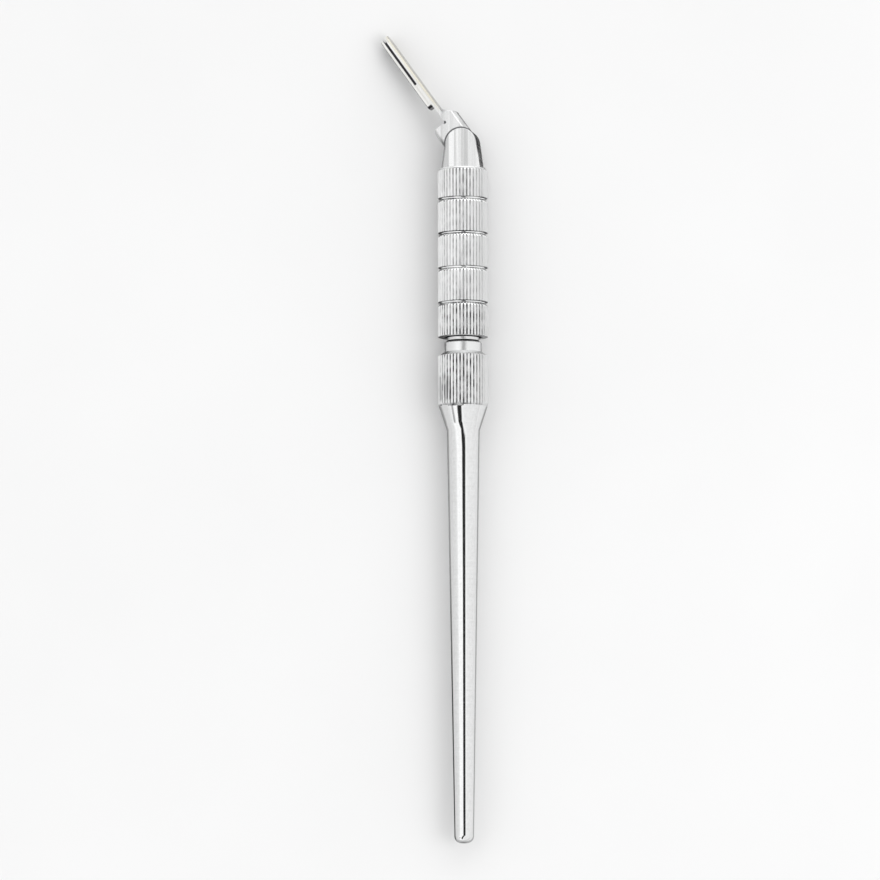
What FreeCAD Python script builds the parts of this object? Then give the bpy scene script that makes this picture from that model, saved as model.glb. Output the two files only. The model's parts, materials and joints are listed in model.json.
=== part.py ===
import FreeCAD, Part
import math
import os

# Scalpel handle with its blade fitting bent over at the head, in millimetres.
# It is made straight along Y, tail end at 0 and head towards +Y, then rolled and set down
# as it lies on a table: the grip and one edge of the fitting's tip touch z = 0.

V = FreeCAD.Vector
ORIGIN, X, Y, Z = V(0, 0, 0), V(1, 0, 0), V(0, 1, 0), V(0, 0, 1)

# Tail, a slim taper with a rounded end
tail_len = 76.5
tail_end_r = 1.8
tail_top_r = 3.03
tail_round = 1.2

# Cone and knurled collar
cone_len = 5.0
grip_r = 4.66
collar_len = 8.8
shoulder_len = 0.8

# Neck between the collar and the five bands
ring_r = 3.42
ring_len = 1.9
ring_edge = 0.25
neck_r = 2.95
neck_len = 0.9

# Knurled bands, each sharp on its tail side and sloped on its head side
band_count = 5
band_pitch = 6.45
last_band_len = 5.6
slope_len = 0.6
groove_depth = 0.45
groove_floor = 0.3

# Straight flutes of the knurl
flute_count = 44
flute_depth = 0.24
flute_width = 0.42
flute_runout = 0.9

# Nose, a flat-sided tongue with nearly straight flanks and an arched end
band_end_r = 4.2
nose_half = 3.6
nose_top_half = 2.93
nose_flank = 4.9
nose_len = 7.45
flat_half = 2.08
flat_edge = 0.15

# Bent bar that carries the fitting; its axis lies in the blade's seat
bend_deg = 35.7
bend_from_nose = 4.3
reach = 25.25
bar_r = 2.9
bar_half = 1.85
bar_root = 0.6

# Blade fitting, lengths measured back from its tip; the bare pad lies between boss and heel
plate_t = 0.8
boss_len = 16.15
rail_len = 11.0
pad_len = 3.9
heel_deg = 25.0
ramp_gap = 1.4
ramp_len = 2.0
ramp_over = 0.02
ramp_round = 1.1
slot_h = 0.45
flange_t = 0.55
flange_half = 1.45
web_half = 0.9
boss_back = 0.25
boss_corner = 0.5
edge_size = 0.13

# How far cutting tools and fused pieces reach past the face that they meet
spare = 0.3

collar_y = tail_len + cone_len
shoulder_y = collar_y + collar_len
ring_y = shoulder_y + shoulder_len
neck_y = ring_y + ring_len
band_y = neck_y + neck_len
nose_y = band_y + (band_count - 1) * band_pitch + last_band_len
bend_y = nose_y + bend_from_nose
bend = math.radians(bend_deg)


def line(a, b):
    return Part.LineSegment(V(*a), V(*b)).toShape()


def arc(a, b, c):
    return Part.Arc(V(*a), V(*b), V(*c)).toShape()


def face(points):
    pts = [V(*p) for p in points]
    return Part.Face(Part.makePolygon(pts + pts[:1]))


def revolve(edges):
    return Part.Face(Part.Wire(edges)).revolve(ORIGIN, Y, 360)


def chain(points):
    return [line(a, b) for a, b in zip(points, points[1:])]


def rounded(shape, radius, wanted):
    return shape.makeFillet(radius, [e for e in shape.Edges if wanted(e)])


def bevelled(shape, size, wanted):
    return shape.makeChamfer(size, [e for e in shape.Edges if wanted(e)])


def tongue(half, y0, y1, corner, x0, x1):
    """A bar lying along Y, square at y0 with small corners and fully rounded at y1."""
    c = corner * (1 - math.sqrt(0.5))
    tip = y1 - half
    edges = [
        line((x0, y0 + corner, -half), (x0, tip, -half)),
        arc((x0, tip, -half), (x0, y1, 0), (x0, tip, half)),
        line((x0, tip, half), (x0, y0 + corner, half)),
    ]
    if corner:
        edges += [
            arc((x0, y0 + corner, half), (x0, y0 + c, half - c), (x0, y0, half - corner)),
            line((x0, y0, half - corner), (x0, y0, corner - half)),
            arc((x0, y0, corner - half), (x0, y0 + c, c - half), (x0, y0 + corner, -half)),
        ]
    else:
        edges.append(line((x0, y0, half), (x0, y0, -half)))
    return Part.Face(Part.Wire(edges)).extrude(V(x1 - x0, 0, 0))


def turned_body():
    """Tail, cone, collar, neck and banded grip in one turned outline."""
    dip = tail_round * (1 - math.sqrt(0.5))
    pts = [
        (tail_end_r, tail_round, 0),
        (tail_top_r, tail_len, 0),
        (grip_r, collar_y, 0),
        (grip_r, shoulder_y, 0),
        (ring_r, ring_y, 0),
        (ring_r, neck_y - ring_edge, 0),
        (ring_r - ring_edge, neck_y, 0),
        (neck_r, neck_y, 0),
        (neck_r, band_y, 0),
    ]
    for k in range(band_count):
        start = band_y + k * band_pitch
        pts.append((grip_r, start, 0))
        if k < band_count - 1:
            end = start + band_pitch - groove_floor
            pts.append((grip_r, end - slope_len, 0))
            pts.append((grip_r - groove_depth, end, 0))
            pts.append((grip_r - groove_depth, end + groove_floor, 0))
    pts += [(grip_r, nose_y - slope_len, 0), (band_end_r, nose_y, 0), (0, nose_y, 0)]
    end = arc(
        (tail_end_r - tail_round, 0, 0),
        (tail_end_r - dip, dip, 0),
        pts[0],
    )
    floor = line((0, 0, 0), (tail_end_r - tail_round, 0, 0))
    return revolve([floor, end] + chain(pts) + [line(pts[-1], (0, 0, 0))])


def knurl_prism(y0, y1):
    """Star of V flutes; where it is wider than the turned outline the lands stay round."""
    root = grip_r - flute_depth
    half_pitch = math.pi / flute_count
    crest = root + flute_depth * grip_r * half_pitch / (flute_width / 2)
    pts = []
    for k in range(flute_count):
        a = 2 * half_pitch * k
        for r, t in ((root, a), (crest, a + half_pitch)):
            pts.append((r * math.sin(t), y0, r * math.cos(t)))
    return face(pts).extrude(V(0, y1 - y0, 0))


def handle_body(roll):
    """The turned body with flutes on every full-width stretch, one flute facing up."""
    body = turned_body()
    split = collar_y - flute_runout
    lower = Part.makeCylinder(10, split + 1, V(0, -1, 0), Y)
    upper = knurl_prism(split, nose_y + spare)
    upper.rotate(ORIGIN, Y, roll)
    return body.common(lower).fuse(body.common(upper)).removeSplitter()


def on_side(edge, half):
    """True for an edge that lies in one of the two side planes."""
    ends = [v.Z for v in edge.Vertexes] + [edge.CenterOfMass.z]
    return all(abs(abs(z) - half) < 1e-6 for z in ends)


def nose():
    """The tongue between the last band and the bent bar, its outline an arch seen from above."""
    base = nose_y - spare
    shoulder = nose_y + nose_flank
    end = nose_y + nose_len
    rise = nose_len - nose_flank
    arch_r = (nose_top_half**2 + rise**2) / (2 * rise)
    side = arch_r * math.sqrt(0.5)
    z = -flat_half
    outline = chain(
        [
            (-nose_top_half, shoulder, z),
            (-nose_half, nose_y, z),
            (-nose_half, base, z),
            (nose_half, base, z),
            (nose_half, nose_y, z),
            (nose_top_half, shoulder, z),
        ]
    )
    outline += [
        arc((nose_top_half, shoulder, z), (side, end - arch_r + side, z), (0, end, z)),
        arc((0, end, z), (-side, end - arch_r + side, z), (-nose_top_half, shoulder, z)),
    ]
    solid = Part.Face(Part.Wire(outline)).extrude(V(0, 0, 2 * flat_half))
    return bevelled(
        solid, flat_edge, lambda e: on_side(e, flat_half) and e.CenterOfMass.y > nose_y
    )


def fitting():
    """Bent bar, blade plate and boss. Tip at y = reach, seat in the plane x = 0."""
    bottom = -bar_root
    rear_y = reach - boss_len
    ramp0 = rear_y - ramp_gap
    ramp1 = ramp0 - ramp_len
    outline = [
        (plate_t, rear_y, 0),
        (plate_t, ramp0, 0),
        (bar_r + ramp_over, ramp1, 0),
        (bar_r + ramp_over, bottom, 0),
        (-bar_r - spare, bottom, 0),
        (-bar_r - spare, rear_y, 0),
    ]
    bar = face(outline).extrude(V(0, 0, 2 * bar_half))
    bar.translate(V(0, 0, -bar_half))
    bar = rounded(
        bar,
        ramp_round,
        lambda e: abs(e.CenterOfMass.y - ramp0) < 0.01 and abs(e.CenterOfMass.z) < 0.01,
    )
    bar = bar.common(Part.makeCylinder(bar_r, reach + 2 * bar_root, V(0, -2 * bar_root, 0), Y))

    # The heel is oblique: the upper side reaches nearest to the tip
    lean = math.tan(math.radians(heel_deg))
    near = rear_y - pad_len
    far = near - 2 * bar_half * lean
    wide = bar_half + spare
    room = face(
        [
            (0, near + spare * lean, wide),
            (0, far - spare * lean, -wide),
            (0, rear_y + spare, -wide),
            (0, rear_y + spare, wide),
        ]
    ).extrude(V(-bar_r - spare, 0, 0))
    bar = bar.cut(room)

    def outer_edge(e):
        c = e.CenterOfMass
        if e.Curve.TypeId == "Part::GeomEllipse":
            return True
        inside = bottom + 0.01 < c.y < rear_y - 0.01
        return inside and on_side(e, bar_half) and (c.x > plate_t / 2 or c.x < -bar_r / 2)

    bar = bevelled(bar, edge_size, outer_edge)
    plate = tongue(bar_half, rear_y, reach, 0, 0, plate_t)
    plate = bevelled(
        plate,
        edge_size,
        lambda e: abs(e.CenterOfMass.x - plate_t) < 1e-6 and e.CenterOfMass.y > rear_y + 0.01,
    )
    tip = reach - boss_back
    flange = tongue(flange_half, rear_y, tip, boss_corner, -slot_h - flange_t, -slot_h)
    flange = bevelled(
        flange, edge_size, lambda e: abs(e.CenterOfMass.x + slot_h + flange_t) < 1e-6
    )
    web_tip = tip - (flange_half - web_half)
    web = tongue(web_half, rear_y + boss_corner, web_tip, 0, -slot_h, 0)
    block = tongue(flange_half, rear_y, tip, boss_corner, -slot_h, 0)
    rail_end = reach - rail_len
    behind = Part.makeBox(4 * slot_h, rail_end - rear_y, 2 * bar_r, V(-2 * slot_h, rear_y, -bar_r))
    block = block.common(behind)
    solid = bar.fuse([plate, flange, web, block])
    solid.rotate(ORIGIN, Z, bend_deg)
    solid.translate(V(0, bend_y, 0))
    return solid


def lowest(depth, half, y_tip, roll):
    """How far below the axis the rounded tip edge at this depth reaches when rolled."""
    side = (y_tip - half) * math.sin(bend) + depth * math.cos(bend)
    tilt = math.hypot(math.sin(bend) * math.sin(roll), math.cos(roll))
    return side * math.sin(roll) + half * tilt


def rest_roll():
    """Roll in degrees at which the tip comes down to the floor beside the grip."""
    lo, hi = 0.0, math.radians(30)
    while hi - lo > 1e-9:
        mid = (lo + hi) / 2
        low = max(
            lowest(0, bar_half, reach, mid),
            lowest(slot_h + flange_t, flange_half, reach - boss_back, mid),
        )
        if low < grip_r:
            lo = mid
        else:
            hi = mid
    return math.degrees(lo)


roll = rest_roll()
part = handle_body(roll).fuse([nose(), fitting()])
part.rotate(ORIGIN, Y, -roll)
box = part.optimalBoundingBox(False)
part.translate(V(-(box.XMin + box.XMax) / 2, -(box.YMin + box.YMax) / 2, -box.ZMin))

os.makedirs("parts", exist_ok=True)
part.exportStep("parts/scalpel_handle.step")
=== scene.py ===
import json
import math

import bmesh
import bpy
from mathutils import Matrix, Vector


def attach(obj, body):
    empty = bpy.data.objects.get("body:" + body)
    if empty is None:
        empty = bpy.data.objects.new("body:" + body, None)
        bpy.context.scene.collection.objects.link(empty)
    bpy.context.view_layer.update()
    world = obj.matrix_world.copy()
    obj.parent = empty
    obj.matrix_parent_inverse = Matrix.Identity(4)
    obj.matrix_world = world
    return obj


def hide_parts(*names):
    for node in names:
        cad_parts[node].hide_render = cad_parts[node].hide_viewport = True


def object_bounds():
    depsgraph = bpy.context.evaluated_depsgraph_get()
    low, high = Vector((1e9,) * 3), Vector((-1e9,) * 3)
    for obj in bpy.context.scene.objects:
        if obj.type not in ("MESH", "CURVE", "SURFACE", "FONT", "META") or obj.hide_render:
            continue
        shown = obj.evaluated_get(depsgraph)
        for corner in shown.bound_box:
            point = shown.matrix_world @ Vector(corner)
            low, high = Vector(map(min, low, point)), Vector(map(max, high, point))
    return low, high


# Looks for the scalpel handle: its steel, knurl and grinding marks, the studio and the camera.
# Metres, in the frame's own axes: +Y along the handle towards the head, +Z up from the floor.

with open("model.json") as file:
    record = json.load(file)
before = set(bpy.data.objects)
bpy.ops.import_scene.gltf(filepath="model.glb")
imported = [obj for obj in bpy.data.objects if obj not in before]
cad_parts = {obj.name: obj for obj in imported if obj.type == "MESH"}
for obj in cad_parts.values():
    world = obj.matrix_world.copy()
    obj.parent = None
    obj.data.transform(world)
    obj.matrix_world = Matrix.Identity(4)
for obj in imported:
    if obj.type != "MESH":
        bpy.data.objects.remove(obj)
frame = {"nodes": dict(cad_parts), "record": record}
cad_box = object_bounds()
node = frame["nodes"]["scalpel_handle"]
low, high = cad_box

MM = 0.001

# Places taken over from the part: stations along Y, and the axis of the turned body
GRIP_R = 4.66 * MM
AXIS_X = high[0] - GRIP_R
AXIS_Z = GRIP_R
TAIL_Y = low[1]
COLLAR_Y = TAIL_Y + 81.5 * MM
SHOULDER_Y = TAIL_Y + 90.3 * MM
RING_TOP_Y = TAIL_Y + 93.0 * MM
RING_R = 3.42 * MM
BAND_Y = TAIL_Y + 93.9 * MM
BAND_PITCH = 6.45 * MM
NOSE_Y = TAIL_Y + 125.3 * MM

# The nose, rolled about the axis: its arched end, half its thickness, and half its width at
# its foot and at the top of its flanks
HEAD_ROLL = math.radians(11.99)
ARCH_R = 2.96 * MM
ARCH_Y = NOSE_Y + 4.49 * MM
FLAT_HALF = 2.08 * MM
NOSE_HALF = 3.6 * MM
NOSE_TOP_HALF = 2.93 * MM
FLANK_LENGTH = 4.9 * MM

# Blade fitting, set by the record's two mounts: the rail's middle, its axis and the seat's normal
mounts = {m["name"]: m for m in frame["record"]["mounts"]}
RAIL = Vector(mounts["blade_rail"]["pos_m"])
PAD = Vector(mounts["blade_pad"]["pos_m"])
TO_TIP = Vector(mounts["blade_rail"]["axis"])
FROM_SEAT = Vector(mounts["blade_pad"]["axis"])
ACROSS = TO_TIP.cross(FROM_SEAT)
RAIL_HALF = 5.5 * MM
SLOT_HALF = 0.225 * MM
FLANGE_T = 0.55 * MM
PLATE_T = 0.8 * MM
PAD_HALF = 1.95 * MM
BAR_HALF = 1.85 * MM
HEEL_LEAN = math.tan(math.radians(25))

# Mesh: points this close are one, faces this nearly flat are joined, a larger turn is an edge
# that gets a rounding, and one larger still stays sharp in the shading
WELD_DISTANCE = 0.0005 * MM
FLAT_ANGLE = math.radians(0.4)
EDGE_ANGLE = math.radians(24)
EDGE_ROUND = 0.035 * MM
ROUND_STEPS = 2
SHARP_ANGLE = math.radians(35)

# Materials of the handle, in their order on the mesh
TURNED, KNURLED, GROUND = range(3)
KNURL_START = COLLAR_Y - 0.5 * MM

STEEL = (0.783, 0.787, 0.787, 1)
# Dark colour for dirt and stains, also used for painted shade in corners, grooves and along edges
DIRT_AND_SHADE = (0.035, 0.035, 0.04, 1)
WARM_DARK = (0.70, 0.66, 0.54, 1)
WARM_LIGHT = (0.84, 0.82, 0.74, 1)

# Numbers of the Mix node's colour sockets, because sockets of other kinds share their names
MIX_A, MIX_B, MIX_RESULT = 6, 7, 2


def grey(level):
    return (level, level, level, 1)


def shade(factor):
    """The steel's colour made darker or lighter."""
    return tuple(factor * c for c in STEEL[:3]) + (1,)


def add(data, name):
    thing = bpy.data.objects.new(name, data)
    bpy.context.scene.collection.objects.link(thing)
    return thing


def steel_mesh():
    """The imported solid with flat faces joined, edges rounded and curved faces shaded smooth."""
    mesh = node.data.copy()
    mesh.name = "steel_handle"
    mesh.transform(node.matrix_world)
    bm = bmesh.new()
    bm.from_mesh(mesh)
    bmesh.ops.remove_doubles(bm, verts=bm.verts, dist=WELD_DISTANCE)
    bmesh.ops.dissolve_limit(bm, angle_limit=FLAT_ANGLE, verts=bm.verts, edges=bm.edges)
    edges = [e for e in bm.edges if len(e.link_faces) == 2 and e.calc_face_angle(0) > EDGE_ANGLE]
    bmesh.ops.bevel(
        bm,
        geom=edges,
        offset=EDGE_ROUND,
        segments=ROUND_STEPS,
        affect="EDGES",
        clamp_overlap=True,
        profile=0.5,
    )
    bmesh.ops.recalc_face_normals(bm, faces=bm.faces)
    bm.to_mesh(mesh)
    bm.free()
    mesh.shade_smooth()
    mesh.set_sharp_from_angle(angle=SHARP_ANGLE)
    return mesh


def zone(y):
    """Which material a face gets from its place along the handle."""
    if y > NOSE_Y:
        return GROUND
    if KNURL_START < y < SHOULDER_Y or y > BAND_Y:
        return KNURLED
    return TURNED


def make_handle(materials):
    mesh = steel_mesh()
    mesh.materials.clear()
    for material in materials:
        mesh.materials.append(material)
    for polygon in mesh.polygons:
        polygon.material_index = zone(polygon.center.y)
    handle = add(mesh, "steel_handle")
    weighted = handle.modifiers.new("even_normals", "WEIGHTED_NORMAL")
    weighted.keep_sharp = True
    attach(handle, "root")
    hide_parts("scalpel_handle")


class Nodes:
    """Short forms for building one node tree."""

    def __init__(self, tree):
        self.nodes = tree.nodes
        self.links = tree.links

    def plug(self, value, socket):
        if isinstance(value, bpy.types.NodeSocket):
            self.links.new(value, socket)
        else:
            socket.default_value = value

    def split(self, vector):
        n = self.nodes.new("ShaderNodeSeparateXYZ")
        self.links.new(vector, n.inputs[0])
        return n.outputs

    def join(self, *values):
        n = self.nodes.new("ShaderNodeCombineXYZ")
        for value, socket in zip(values, n.inputs):
            self.plug(value, socket)
        return n.outputs[0]

    def math(self, operation, *values):
        n = self.nodes.new("ShaderNodeMath")
        n.operation = operation
        for value, socket in zip(values, n.inputs):
            self.plug(value, socket)
        return n.outputs[0]

    def length(self, a, b):
        squares = self.math("MULTIPLY", a, a), self.math("MULTIPLY", b, b)
        return self.math("SQRT", self.math("ADD", *squares))

    def ramp(self, value, span, levels=(0, 1)):
        """The first level before the span, the second one after it, and a straight change in it."""
        n = self.nodes.new("ShaderNodeMapRange")
        self.plug(value, n.inputs["Value"])
        for limit, name in zip((*span, *levels), ("From Min", "From Max", "To Min", "To Max")):
            n.inputs[name].default_value = limit
        return n.outputs[0]

    def within(self, value, span, soft):
        """1 inside the span, falling to 0 over soft on both sides."""
        start, end = span
        rise = self.ramp(value, (start - soft, start))
        return self.math("MULTIPLY", rise, self.ramp(value, (end, end + soft), (1, 0)))

    def all_of(self, *masks):
        product = masks[0]
        for mask in masks[1:]:
            product = self.math("MULTIPLY", product, mask)
        return product

    def any_of(self, *masks):
        most = masks[0]
        for mask in masks[1:]:
            most = self.math("MAXIMUM", most, mask)
        return most


class Surface(Nodes):
    """One material, which knows where the shaded point lies from the handle's axis."""

    def __init__(self, name):
        self.material = bpy.data.materials.new(name)
        self.material.use_nodes = True
        super().__init__(self.material.node_tree)
        self.shader = self.nodes["Principled BSDF"]
        self.point = self.nodes.new("ShaderNodeTexCoord").outputs["Object"]
        x, self.y, z = self.split(self.point)
        self.dx = self.math("SUBTRACT", x, AXIS_X)
        self.dz = self.math("SUBTRACT", z, AXIS_Z)
        self.radius = self.length(self.dx, self.dz)

    def noise(self, scale, detail=2.0, turn=0.0, at=None):
        """Noise from 0 to 1; scale is in cycles per millimetre along each axis, turned about Y."""
        m = self.nodes.new("ShaderNodeMapping")
        m.vector_type = "TEXTURE"
        m.inputs["Rotation"].default_value = (0, turn, 0)
        m.inputs["Scale"].default_value = [MM / s for s in scale]
        self.links.new(at or self.point, m.inputs["Vector"])
        n = self.nodes.new("ShaderNodeTexNoise")
        n.inputs["Scale"].default_value = 1.0
        n.inputs["Detail"].default_value = detail
        self.links.new(m.outputs[0], n.inputs["Vector"])
        return n.outputs["Fac"]

    def spread(self, noise, half, levels=(0, 1)):
        """Noise, which mostly lies within half of 0.5, spread out between two levels."""
        return self.ramp(noise, (0.5 - half, 0.5 + half), levels)

    def along(self, origin, axis):
        """How far the shaded point lies from origin along axis."""
        n = self.nodes.new("ShaderNodeVectorMath")
        n.operation = "DOT_PRODUCT"
        self.links.new(self.point, n.inputs[0])
        n.inputs[1].default_value = axis
        return self.math("SUBTRACT", n.outputs["Value"], origin.dot(axis))

    def blend(self, factor, a, b):
        n = self.nodes.new("ShaderNodeMix")
        n.data_type = "RGBA"
        self.plug(factor, n.inputs["Factor"])
        self.plug(a, n.inputs[MIX_A])
        self.plug(b, n.inputs[MIX_B])
        return n.outputs[MIX_RESULT]

    def shades(self, factor, pair):
        """The steel's colour between two shades."""
        return self.blend(factor, shade(pair[0]), shade(pair[1]))

    def bump(self, height, distance):
        n = self.nodes.new("ShaderNodeBump")
        n.inputs["Distance"].default_value = distance
        n.inputs["Strength"].default_value = 1.0
        self.links.new(height, n.inputs["Height"])
        self.links.new(n.outputs[0], self.shader.inputs["Normal"])

    def finish(self, color, roughness, metallic=1.0):
        self.shader.inputs["Metallic"].default_value = metallic
        self.plug(color, self.shader.inputs["Base Color"])
        self.plug(roughness, self.shader.inputs["Roughness"])
        return self.material


# How far from 0.5 most noise lies: a smaller number gives more contrast
SOFT_NOISE = 0.2
PLAIN_NOISE = 0.15
PATCHY_NOISE = 0.12
STREAKY_NOISE = 0.1
BLOTCHY_NOISE = 0.06

# Turned steel: scale of the turning rings and the grain, their mix, shades and roughness
RINGS_SCALE = (0.02, 3.0, 0.02)
GRAIN_SCALE = (2.2, 1.2, 2.2)
RINGS_SHARE = 0.35
TURNED_SHADES = (0.96, 1.04)
TURNED_ROUGH = (0.07, 0.11)
RINGS_HEIGHT = 0.0003 * MM

# The neck is plainer and less polished than the tail, with painted shade in its two corners
NECK_START = (COLLAR_Y, COLLAR_Y + 1.0 * MM)
NECK_SHADE = 1.04
NECK_ROUGH = 0.22
NECK_CORNERS = [
    (BAND_Y - 0.12 * MM, BAND_Y + 0.1 * MM),
    (RING_TOP_Y - 0.02 * MM, RING_TOP_Y + 0.2 * MM),
]
NECK_CORNER_SOFT = 0.06 * MM
CORE_RADII = (RING_R - 0.1 * MM, RING_R + 0.3 * MM)


def near_core(s):
    """1 on the neck and its ring, 0 further out."""
    return s.ramp(s.radius, CORE_RADII, (1, 0))


def turned_steel():
    """Tail, cone, neck and ring: polished, with faint rings left by turning."""
    s = Surface("turned_steel")
    rings = s.noise(RINGS_SCALE)
    grain = s.noise(GRAIN_SCALE, detail=3)
    marks = s.math(
        "ADD", s.math("MULTIPLY", rings, RINGS_SHARE), s.math("MULTIPLY", grain, 1 - RINGS_SHARE)
    )
    neck = s.ramp(s.y, NECK_START)
    color = s.blend(neck, s.shades(s.spread(marks, PLAIN_NOISE), TURNED_SHADES), shade(NECK_SHADE))
    polish = s.spread(grain, SOFT_NOISE, TURNED_ROUGH)
    roughness = s.math("ADD", polish, s.math("MULTIPLY", neck, NECK_ROUGH))
    # Painted shade: the neck darkens in its two inside corners, near the core
    corners = s.any_of(*(s.within(s.y, span, NECK_CORNER_SOFT) for span in NECK_CORNERS))
    corners = s.all_of(corners, near_core(s))
    s.bump(rings, RINGS_HEIGHT)
    return s.finish(s.blend(corners, color, DIRT_AND_SHADE), s.math("ADD", roughness, corners))


# Dirt and painted shade in the flutes by radius, from their floor to the lands, and not as deep as
# the ring grooves
FLUTE_RADII = (GRIP_R - 0.17 * MM, GRIP_R - 0.05 * MM)
GROOVE_RADII = (GRIP_R - 0.32 * MM, GRIP_R - 0.27 * MM)

# There is most of it on the collar and the first band, a little more on the last band than on
# the middle ones, and on the right side only the first band keeps it
SECOND_BAND_Y = BAND_Y + BAND_PITCH
FEWER_AFTER = (SECOND_BAND_Y - 0.9 * MM, SECOND_BAND_Y)
MIDDLE_DIRT_AND_SHADE = 0.4
LAST_BAND = (NOSE_Y - 6.2 * MM, NOSE_Y - 5.2 * MM)
LAST_DIRT_AND_SHADE = 0.55
FIRST_BAND = (BAND_Y, SECOND_BAND_Y - 0.5 * MM)
FIRST_BAND_SOFT = 0.1 * MM
RIGHT_SIDE = (2.0 * MM, 3.8 * MM)
RIGHT_DIRT_AND_SHADE = 0.25
PATCH_SCALE = (0.8, 0.7, 0.8)
PATCH_LEAST = 0.3


def flute_dirt_and_shade(s):
    """Dirt and painted shade down in the flutes, in patches."""
    in_flute = s.ramp(s.radius, FLUTE_RADII, (1, 0))
    above_groove = s.ramp(s.radius, GROOVE_RADII)
    amount = s.any_of(
        s.ramp(s.y, FEWER_AFTER, (1, MIDDLE_DIRT_AND_SHADE)),
        s.ramp(s.y, LAST_BAND, (MIDDLE_DIRT_AND_SHADE, LAST_DIRT_AND_SHADE)),
    )
    side = s.any_of(
        s.within(s.y, FIRST_BAND, FIRST_BAND_SOFT),
        s.ramp(s.dx, RIGHT_SIDE, (1, RIGHT_DIRT_AND_SHADE)),
    )
    patches = s.spread(s.noise(PATCH_SCALE, detail=4), PATCHY_NOISE, (PATCH_LEAST, 1))
    return s.all_of(in_flute, above_groove, amount, side, patches)


# The streaky stain on the left of the collar, darker in the flutes than on the lands
STAIN_SIDE = (-4.3 * MM, -2.2 * MM)
STAIN_SIDE_SOFT = 0.3 * MM
STAIN_Y = (COLLAR_Y + 0.6 * MM, COLLAR_Y + 4.6 * MM)
STAIN_Y_SOFT = 0.8 * MM
STAIN_SCALE = (2.4, 0.16, 2.4)
STAIN_RADII = (GRIP_R - 0.17 * MM, GRIP_R)
STAIN_LEVELS = (0.9, 0.3)


def collar_stain(s):
    """Blotches drawn out along the handle."""
    return s.all_of(
        s.within(s.dx, STAIN_SIDE, STAIN_SIDE_SOFT),
        s.within(s.y, STAIN_Y, STAIN_Y_SOFT),
        s.spread(s.noise(STAIN_SCALE), BLOTCHY_NOISE),
        s.ramp(s.radius, STAIN_RADII, STAIN_LEVELS),
    )


# Steps along the bands: each starts on a groove's floor, a little before a band's sharp face,
# and ends with the slope of that band
STEP_START = BAND_Y - 0.3 * MM
GROOVE_FLOOR = (0.16 * MM, 0.2 * MM)
GROOVE_CORNER = (0.18 * MM, 0.36 * MM)
GROOVE_CORNER_SOFT = 0.04 * MM
GROOVE_CORNER_RADII = (GRIP_R - 0.2 * MM, GRIP_R - 0.02 * MM)
SLOPE_START = (BAND_PITCH - 0.62 * MM, BAND_PITCH - 0.58 * MM)
CORNER_SCALE = (0.35, 0.12, 0.35)
CORNER_LEAST = 0.45

# The steps count from inside the first band on, and at its sharp face only near the core
FIRST_FACE = (BAND_Y - 0.5 * MM, BAND_Y - 0.4 * MM)
PAST_FIRST_FACE = (BAND_Y + 0.4 * MM, BAND_Y + 0.5 * MM)


def on_bands(s):
    """1 where the steps along the bands count, 0 on the collar."""
    first_face = s.all_of(s.ramp(s.y, FIRST_FACE), near_core(s))
    return s.any_of(s.ramp(s.y, PAST_FIRST_FACE), first_face)


def groove_corner_shade(s, step, bands):
    """Painted shade: a dark line in the corner where each groove meets the next band's sharp edge."""
    corner = s.within(step, GROOVE_CORNER, GROOVE_CORNER_SOFT)
    deep = s.ramp(s.radius, GROOVE_CORNER_RADII, (1, 0))
    broken = s.spread(s.noise(CORNER_SCALE), STREAKY_NOISE, (CORNER_LEAST, 1))
    return s.all_of(corner, deep, bands, broken)


# Lands of the knurl: wear, painted shade on the right side, and the polished slopes and groove
# floors, which carry a painted highlight
WEAR_SCALE = (1.6, 0.5, 1.6)
LAND_SHADES = (1.06, 1.24)
PAINTED_SHADE_SIDE = (0.5 * MM, 3.2 * MM)
PAINTED_SHADE_SHARE = 0.7
PAINTED_SHADE_LEVEL = 0.86
SLOPE_HIGHLIGHT = 1.25
LAND_ROUGH = (0.40, 0.50)
SLOPE_POLISH = 0.32
WEAR_HEIGHT = 0.004 * MM


def knurled_steel():
    """Collar and bands: worn lands, dirt and painted shade in the flutes, painted shade in each ring
    groove's corner.
    """
    s = Surface("knurled_steel")
    bands = on_bands(s)
    step = s.math("FLOORED_MODULO", s.math("SUBTRACT", s.y, STEP_START), BAND_PITCH)
    # Darkening: dirt and stain, with painted shade in the flutes and in the groove corners
    darkening = s.any_of(flute_dirt_and_shade(s), collar_stain(s), groove_corner_shade(s, step, bands))
    sloped = s.any_of(s.ramp(step, SLOPE_START), s.ramp(step, GROOVE_FLOOR, (1, 0)))
    sloped = s.all_of(sloped, bands)
    wear = s.noise(WEAR_SCALE, detail=3)
    land = s.shades(s.spread(wear, SOFT_NOISE), LAND_SHADES)
    # Painted shade: the lands darken towards the right side
    land = s.blend(s.ramp(s.dx, PAINTED_SHADE_SIDE, (0, PAINTED_SHADE_SHARE)), land, shade(PAINTED_SHADE_LEVEL))
    # Painted highlight: the slopes and groove floors are lighter
    land = s.blend(sloped, land, shade(SLOPE_HIGHLIGHT))
    roughness = s.spread(wear, SOFT_NOISE, LAND_ROUGH)
    roughness = s.math("SUBTRACT", roughness, s.math("MULTIPLY", sloped, SLOPE_POLISH))
    s.bump(wear, WEAR_HEIGHT)
    return s.finish(s.blend(darkening, land, DIRT_AND_SHADE), roughness)


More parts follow.
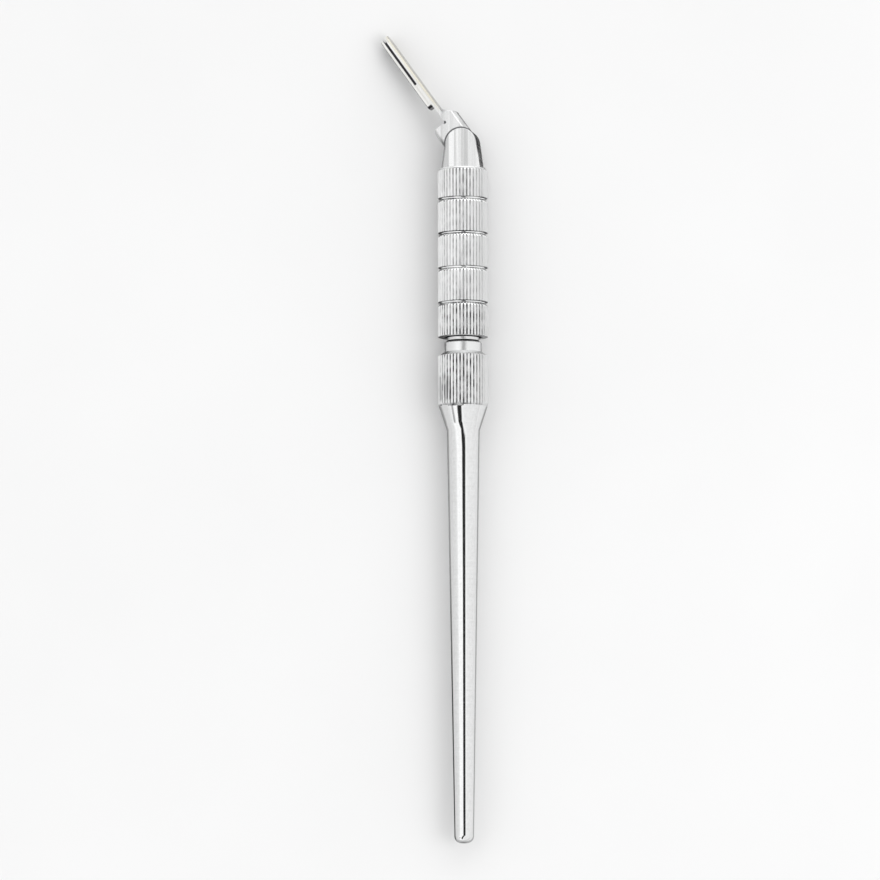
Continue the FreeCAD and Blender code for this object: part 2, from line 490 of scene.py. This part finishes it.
# Painted shade on the blade fitting, as distances from the rail's middle or the seat's
RAIL_GROOVE = (-SLOT_HALF - 0.01 * MM, SLOT_HALF + 0.01 * MM)
RAIL_GROOVE_SOFT = 0.02 * MM
RAIL_GROOVE_END = (-RAIL_HALF - 0.02 * MM, -RAIL_HALF)
BOSS_END = (PAD_HALF - 0.1 * MM, PAD_HALF + 0.35 * MM)
BOSS_END_SOFT = 0.15 * MM
BOSS_FOOT = (0.05 * MM, 0.15 * MM)
BOSS_START = (PAD_HALF - 0.1 * MM, PAD_HALF)
FLANGE_TOP = SLOT_HALF + FLANGE_T
FLANGE_EDGE = (FLANGE_TOP - 0.14 * MM, FLANGE_TOP - 0.04 * MM)
FLANGE_EDGE_SHADE = 0.75
PLATE_EDGE = (0.03 * MM - PLATE_T, 0.15 * MM - PLATE_T)
PLATE_EDGE_SHADE = 0.6
PLATE_START = (-0.5 * MM, 0.5 * MM)
HEEL_CORNER = (0.2 * MM, 0.34 * MM)


def fitting_shade(s, seat, ahead, up):
    """Painted shade on the blade fitting: groove, boss, flange, plate and the heel's corner."""
    out = s.along(RAIL, FROM_SEAT)
    groove = s.all_of(
        s.within(out, RAIL_GROOVE, RAIL_GROOVE_SOFT),
        s.ramp(s.along(RAIL, TO_TIP), RAIL_GROOVE_END),
    )
    boss_end = s.all_of(s.within(ahead, BOSS_END, BOSS_END_SOFT), s.ramp(seat, BOSS_FOOT))
    flange_edge = s.all_of(s.ramp(out, FLANGE_EDGE, (0, FLANGE_EDGE_SHADE)), s.ramp(ahead, BOSS_START))
    plate_edge = s.all_of(s.ramp(seat, PLATE_EDGE, (PLATE_EDGE_SHADE, 0)), s.ramp(ahead, PLATE_START))
    slope = s.math("MULTIPLY", s.math("SUBTRACT", BAR_HALF, up), HEEL_LEAN)
    heel = s.math("ADD", s.math("ADD", ahead, PAD_HALF), slope)
    heel_corner = s.ramp(s.length(heel, seat), HEEL_CORNER, (1, 0))
    return s.any_of(groove, boss_end, heel_corner, flange_edge, plate_edge)


# Painted shade, dark lines on the nose: on the bar round the foot of its arched end, and on its left
# edge
ARCH_LINE = (ARCH_R - 0.1 * MM, ARCH_R + 0.16 * MM)
ARCH_LINE_SOFT = 0.1 * MM
ARCH_LINE_TOP = (FLAT_HALF - 0.12 * MM, FLAT_HALF - 0.02 * MM)
ARCH_LINE_FOOT = (0.0, 0.1 * MM)
ARCH_LINE_SHADE = 0.85
FLANK_Y = (NOSE_Y, NOSE_Y + FLANK_LENGTH)
FLANK_LINE = (0.1 * MM, 0.4 * MM)
FLANK_LINE_END = (ARCH_Y - 0.5 * MM, ARCH_Y + 1.0 * MM)
FLANK_LINE_SHADE = 0.6


def nose_place(s):
    """(sideways, upwards) from the handle's axis, in the rolled frame of the nose."""
    c, t = math.cos(HEAD_ROLL), math.sin(HEAD_ROLL)
    side = s.math("ADD", s.math("MULTIPLY", s.dx, c), s.math("MULTIPLY", s.dz, t))
    height = s.math("SUBTRACT", s.math("MULTIPLY", s.dz, c), s.math("MULTIPLY", s.dx, t))
    return side, height


def nose_shade(s, side, height):
    """Both dark lines of painted shade on the nose."""
    ahead = s.math("MAXIMUM", s.math("SUBTRACT", s.y, ARCH_Y), 0.0)
    foot = s.all_of(
        s.within(s.length(side, ahead), ARCH_LINE, ARCH_LINE_SOFT),
        s.ramp(height, ARCH_LINE_TOP, (1, 0)),
        s.ramp(height, ARCH_LINE_FOOT, (0, ARCH_LINE_SHADE)),
    )
    from_flank = s.math("ADD", side, s.ramp(s.y, FLANK_Y, (NOSE_HALF, NOSE_TOP_HALF)))
    edge = s.all_of(
        s.ramp(from_flank, FLANK_LINE, (FLANK_LINE_SHADE, 0)),
        s.ramp(s.y, FLANK_LINE_END, (1, 0)),
    )
    return s.any_of(foot, edge)


# Painted reflections, light and dark streaks on the nose's upper flat: place from its middle, half
# width and lightness
PAINTED_REFLECTIONS = [
    (-3.0 * MM, 0.6 * MM, -1.4),
    (-1.65 * MM, 0.3 * MM, 1.2),
    (-1.15 * MM, 0.12 * MM, -0.4),
    (-0.4 * MM, 0.4 * MM, 0.25),
    (1.05 * MM, 0.25 * MM, -0.55),
    (2.3 * MM, 0.6 * MM, -0.2),
]
STREAK_SOFT = 0.2 * MM
UPPER_FLAT = (FLAT_HALF - 0.1 * MM, FLAT_HALF - 0.05 * MM)

# The finer streaks all over the nose, between these two lightnesses: 0 is the darker shade
STREAK_SCALE = (1.1, 0.03, 0.02)
STREAK_LEVELS = (0.2, 0.85)


def streaks_and_reflections(s, side, height):
    """Lightness along the nose: fine grinding streaks, and painted reflections on its upper flat."""
    fine = s.noise(STREAK_SCALE, detail=3, turn=-HEAD_ROLL)
    streaks = s.spread(fine, PLAIN_NOISE, STREAK_LEVELS)
    on_flat = s.ramp(height, UPPER_FLAT)
    for middle, half, light in PAINTED_REFLECTIONS:
        reflection = s.all_of(on_flat, s.within(side, (middle - half, middle + half), STREAK_SOFT))
        streaks = s.math("ADD", streaks, s.math("MULTIPLY", reflection, light))
    return streaks


# Ground steel: shades of the nose, shades of the fitting ahead of its seat, warm light, most of
# it on the plate's back, then scratches and roughness
NOSE_SHADES = (0.66, 1.03)
FITTING_SHADES = (0.84, 1.04)
FITTING_SCALE = (1.6, 0.05, 0.3)
FITTING_START = (0.0, 3.0 * MM)
WARM_FROM_SEAT = (-0.5 * MM, -0.25 * MM)
WARM_LEVELS = (0.8, 0.2)
SCRATCH_SCALE = (14, 0.25, 0.02)
SCRATCH_HEIGHT = 0.001 * MM
GROUND_ROUGH = (0.2, 0.3)


def ground_steel():
    """Nose, bar and blade fitting: flat ground, with streaks along the handle, painted reflections on
    the nose and painted shade in its dark places.
    """
    s = Surface("ground_steel")
    side, height = nose_place(s)
    seat, ahead, up = (s.along(PAD, axis) for axis in (FROM_SEAT, TO_TIP, ACROSS))
    on_fitting = s.ramp(ahead, FITTING_START)
    lengthwise = s.noise(FITTING_SCALE, detail=3, at=s.join(seat, ahead, up))
    lengthwise = s.spread(lengthwise, PLAIN_NOISE)
    color = s.shades(streaks_and_reflections(s, side, height), NOSE_SHADES)
    color = s.blend(on_fitting, color, s.shades(lengthwise, FITTING_SHADES))
    warm = s.blend(lengthwise, WARM_DARK, WARM_LIGHT)
    color = s.blend(s.all_of(on_fitting, s.ramp(seat, WARM_FROM_SEAT, WARM_LEVELS)), color, warm)
    scratches = s.noise(SCRATCH_SCALE, turn=-HEAD_ROLL)
    s.bump(scratches, SCRATCH_HEIGHT)
    # Painted shade of the fitting and the nose
    darkening = s.any_of(fitting_shade(s, seat, ahead, up), nose_shade(s, side, height))
    return s.finish(s.blend(darkening, color, DIRT_AND_SHADE), s.spread(scratches, SOFT_NOISE, GROUND_ROUGH))


FLOOR_HALF = 7.0
FLOOR_SCALE = (0.02, 0.02, 0.02)
FLOOR_LEVELS = (0.84, 0.86)
FLOOR_ROUGH = 0.9

# Painted shade on the floor in the steel's mirror images: where it changes from the axis outwards,
# and its levels
FLOOR_LEFT = (-12 * MM, -7 * MM)
FLOOR_RIGHT = (6 * MM, 10 * MM)
LEFT_LEVEL = 0.75
RIGHT_LEVEL = 0.85
NEAR_LEVEL = 0.08

# Near the shaft it is a little lighter: right of the axis up to the nose, left of it by the tail
SHAFT_RIGHT = (0.0, 1.0 * MM)
SHAFT_LEFT = (-1.0 * MM, 0.0)
SHAFT_LEVEL = 0.42
SHAFT_RIGHT_END = (NOSE_Y - 1.5 * MM, NOSE_Y)
SHAFT_LEFT_START = (TAIL_Y + 22 * MM, TAIL_Y + 55 * MM)
SHAFT_LEFT_END = (COLLAR_Y - 1.0 * MM, COLLAR_Y)

# It is light beyond the nose, though not beside the bar, and also beside the heel and behind
# the tail
BEYOND_NOSE = (ARCH_Y + 1.5 * MM, ARCH_Y + 3.0 * MM)
BEYOND_LEVEL = 0.95
BESIDE_BAR = (-6.2 * MM, -1.5 * MM)
BESIDE_BAR_SOFT = 0.8 * MM
BESIDE_BAR_END = (0.5 * MM, 2.5 * MM)
BESIDE_BAR_DIM = 0.9
BESIDE_HEEL = (NOSE_Y + 2.0 * MM, NOSE_Y + 4.0 * MM)
BESIDE_HEEL_SIDE = (-2.0 * MM, -1.0 * MM)
HEEL_LEVEL = 0.8
BEHIND_TAIL = (TAIL_Y - 2.0 * MM, TAIL_Y - 0.5 * MM)
BEHIND_LEVEL = 0.5


def mirrored_floor(s):
    """How light the floor looks in mirror images, by place: painted shade, dark close beside the
    handle.
    """
    beside_bar = s.all_of(
        s.within(s.along(PAD, FROM_SEAT), BESIDE_BAR, BESIDE_BAR_SOFT),
        s.ramp(s.along(PAD, TO_TIP), BESIDE_BAR_END, (BESIDE_BAR_DIM, 0)),
    )
    return s.any_of(
        s.ramp(s.dx, FLOOR_LEFT, (LEFT_LEVEL, NEAR_LEVEL)),
        s.ramp(s.dx, FLOOR_RIGHT, (NEAR_LEVEL, RIGHT_LEVEL)),
        s.all_of(
            s.ramp(s.dx, SHAFT_RIGHT, (0, SHAFT_LEVEL)),
            s.ramp(s.y, SHAFT_RIGHT_END, (1, 0)),
        ),
        s.all_of(
            s.ramp(s.dx, SHAFT_LEFT, (SHAFT_LEVEL, 0)),
            s.ramp(s.y, SHAFT_LEFT_START),
            s.ramp(s.y, SHAFT_LEFT_END, (1, 0)),
        ),
        s.all_of(
            s.ramp(s.y, BEYOND_NOSE, (0, BEYOND_LEVEL)),
            s.math("SUBTRACT", 1.0, beside_bar),
        ),
        s.all_of(
            s.ramp(s.y, BESIDE_HEEL, (0, HEEL_LEVEL)),
            s.ramp(s.dx, BESIDE_HEEL_SIDE, (1, 0)),
        ),
        s.ramp(s.y, BEHIND_TAIL, (BEHIND_LEVEL, 0)),
    )


def floor_material():
    """Pale and dull; only mirror images show it darker beside the handle, as painted shade."""
    s = Surface("pale_floor")
    grain = s.spread(s.noise(FLOOR_SCALE, detail=3), SOFT_NOISE)
    seen = s.blend(grain, *(grey(level) for level in FLOOR_LEVELS))
    mirrored = s.blend(mirrored_floor(s), grey(0), grey(1))
    in_mirror = s.nodes.new("ShaderNodeLightPath").outputs["Is Glossy Ray"]
    s.shader.inputs["Specular IOR Level"].default_value = 0.0
    return s.finish(s.blend(in_mirror, seen, mirrored), FLOOR_ROUGH, metallic=0.0)


def make_floor():
    """Wide pale table top."""
    h = FLOOR_HALF
    mesh = bpy.data.meshes.new("floor")
    mesh.from_pydata([(-h, -h, 0), (h, -h, 0), (h, h, 0), (-h, h, 0)], [], [(0, 1, 2, 3)])
    mesh.materials.append(floor_material())
    add(mesh, "floor")


# What the metal mirrors, by angle round the handle from straight up towards +X, in degrees:
# grey at the left horizon, a bright window and an even right side
SKY = [
    (-180, 0.20),
    (-98, 0.85),
    (-62, 0.92),
    (-52, 0.99),
    (-45, 1.22),
    (-24, 1.20),
    (-12, 1.27),
    (18, 1.16),
    (32, 1.04),
    (92, 0.98),
    (180, 0.40),
]
SKY_TOP = max(level for _, level in SKY)
SKY_TURNS = (-180, 180)

# The picture leans: it turns by this many degrees per unit of the direction's y
SKY_SLANT = 41.7
SKY_LEVEL_Y = 0.12

# It gets lighter towards straight ahead of the head, from this y of the direction on
SKY_AHEAD = (0.5, 1.0)
SKY_AHEAD_GAIN = (1.0, 1.8)

# Dark cards in front of it: angles as above, the direction's y, how much they dim, and how far
# their edges fade out
CARDS = [
    ((-7, 13), (-0.85, 0.25), 0.98),
    ((-42, -32), (-0.59, -0.39), 0.6),
]
CARD_SOFT = 4
CARD_SOFT_Y = 0.05


def sky_picture(s, turn):
    """SKY as a gradient, in shares of its lightest level, because a gradient ends at white."""
    picture = s.nodes.new("ShaderNodeValToRGB")
    s.plug(s.ramp(turn, SKY_TURNS), picture.inputs[0])
    stops = picture.color_ramp.elements
    stops.remove(stops[1])
    start, end = SKY_TURNS
    for number, (degrees, level) in enumerate(SKY):
        place = (degrees - start) / (end - start)
        stop = stops[0] if number == 0 else stops.new(place)
        stop.position = place
        stop.color = grey(level / SKY_TOP)
    return picture.outputs[0]


def make_sky():
    """Studio surroundings, a grey picture that depends on the direction alone."""
    world = bpy.data.worlds.new("studio")
    bpy.context.scene.world = world
    world.use_nodes = True
    s = Nodes(world.node_tree)
    x, y, z = s.split(s.nodes.new("ShaderNodeTexCoord").outputs["Generated"])
    angle = s.math("DEGREES", s.math("ARCTAN2", x, z))
    slant = s.math("MULTIPLY", s.math("SUBTRACT", y, SKY_LEVEL_Y), SKY_SLANT)
    turn = s.math("SUBTRACT", angle, slant)
    gain = s.math("MULTIPLY", s.ramp(y, SKY_AHEAD, SKY_AHEAD_GAIN), SKY_TOP)
    for turns, ys, dim in CARDS:
        card = s.all_of(s.within(turn, turns, CARD_SOFT), s.within(y, ys, CARD_SOFT_Y))
        gain = s.all_of(gain, s.math("SUBTRACT", 1.0, s.math("MULTIPLY", card, dim)))
    background = s.nodes["Background"]
    s.plug(sky_picture(s, turn), background.inputs["Color"])
    s.plug(gain, background.inputs["Strength"])


# Camera, nearly straight down from a long way off: angles, distance, width of the field, aim,
# sensor in millimetres and the depths that it sees
TILT = math.radians(7)
LEAN = math.radians(1)
ROLL = math.radians(-0.12)
DISTANCE = 4.0
FIELD = 0.1625
TARGET = Vector((0.0009, -0.00039, 0.004))
SENSOR = 36
NEAREST, FARTHEST = 0.1, 20

# Key lamp, high on the right
KEY_SIZE = 0.7
KEY_POWER = 2.0
KEY_PLACE = (0.7, -0.25, 0.9)


def make_key():
    """Soft key light from the right, left out of mirror images."""
    data = bpy.data.lights.new("key", "AREA")
    data.shape = "DISK"
    data.size = KEY_SIZE
    data.energy = KEY_POWER
    lamp = add(data, "key")
    lamp.location = KEY_PLACE
    lamp.rotation_mode = "QUATERNION"
    lamp.rotation_quaternion = (TARGET - lamp.location).to_track_quat("-Z", "Y")
    lamp.visible_glossy = False


def make_camera():
    """Looks down on the handle with the head at the top of the picture."""
    data = bpy.data.cameras.new("camera")
    data.sensor_width = SENSOR
    data.lens = SENSOR * DISTANCE / FIELD
    data.clip_start = NEAREST
    data.clip_end = FARTHEST
    camera = add(data, "camera")
    away = Vector((-math.tan(LEAN), -math.tan(TILT), 1)).normalized()
    ahead = Vector((0, 1, 0))
    up = (ahead - away * ahead.dot(away)).normalized()
    right = up.cross(away)
    c, s = math.cos(ROLL), math.sin(ROLL)
    side, top = c * right + s * up, c * up - s * right
    turn = Matrix((side, top, away)).transposed().to_4x4()
    turn.translation = TARGET + away * DISTANCE
    camera.matrix_world = turn
    bpy.context.scene.camera = camera


make_camera()
make_sky()
make_key()
make_floor()
make_handle([turned_steel(), knurled_steel(), ground_steel()])
bpy.context.scene.view_settings.view_transform = "Standard"
